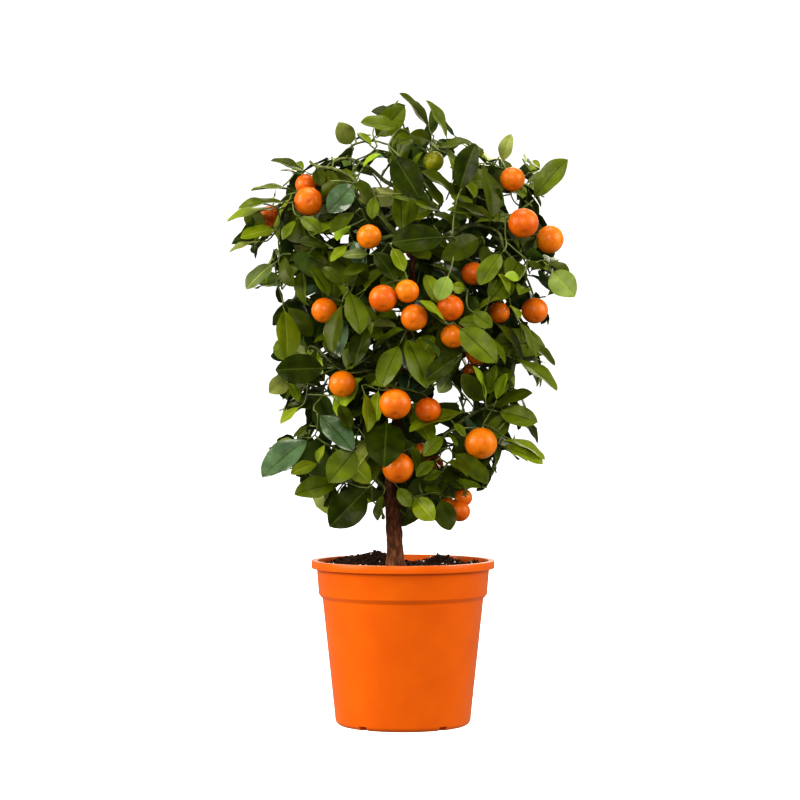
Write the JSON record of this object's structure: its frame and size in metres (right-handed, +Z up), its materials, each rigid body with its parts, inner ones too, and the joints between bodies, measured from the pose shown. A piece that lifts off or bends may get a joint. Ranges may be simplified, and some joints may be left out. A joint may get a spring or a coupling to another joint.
{
  "type": "potted calamondin orange tree",
  "caption": "Calamondin orange tree in a round orange nursery pot: slender leaning trunk, fan of short boughs and an open leafy crown hung with small oranges.",
  "frame": {"origin": "middle of the pot's flat underside, where it stands on the floor", "axes": "+Z up; the front of the plant faces -Y, and +X is to its right as seen from the front"},
  "size_m": [0.3594, 0.2429, 0.6509],
  "materials": {
    "pot": "satin moulded orange plastic",
    "soil": "moist crumbly potting mix with white perlite",
    "bark": "rough brown bark",
    "bough": "smooth olive-green young wood",
    "leaf": "leathery leaf with a soft gloss",
    "fruit": "waxy pored orange peel"
  },
  "bodies": {
    "root": {"pot": "pot", "soil": "soil", "trunk": "bark", "bough_low_left": "bough", "bough_low_right": "bough", "bough_mid_left": "bough", "bough_mid_right": "bough", "bough_mid_back": "bough", "bough_high_left": "bough", "bough_high_front": "bough", "bough_high_right": "bough", "bough_high_back": "bough", "foliage_low_left": "leaf", "foliage_low_front": "leaf", "foliage_low_right": "leaf", "foliage_low_back": "leaf", "foliage_mid_left": "leaf", "foliage_mid_front": "leaf", "foliage_mid_right": "leaf", "foliage_mid_back": "leaf", "foliage_high_left": "leaf", "foliage_high_front": "leaf", "foliage_high_right": "leaf", "foliage_high_back": "leaf", "foliage_top": "leaf"}
  },
  "joints": []
}
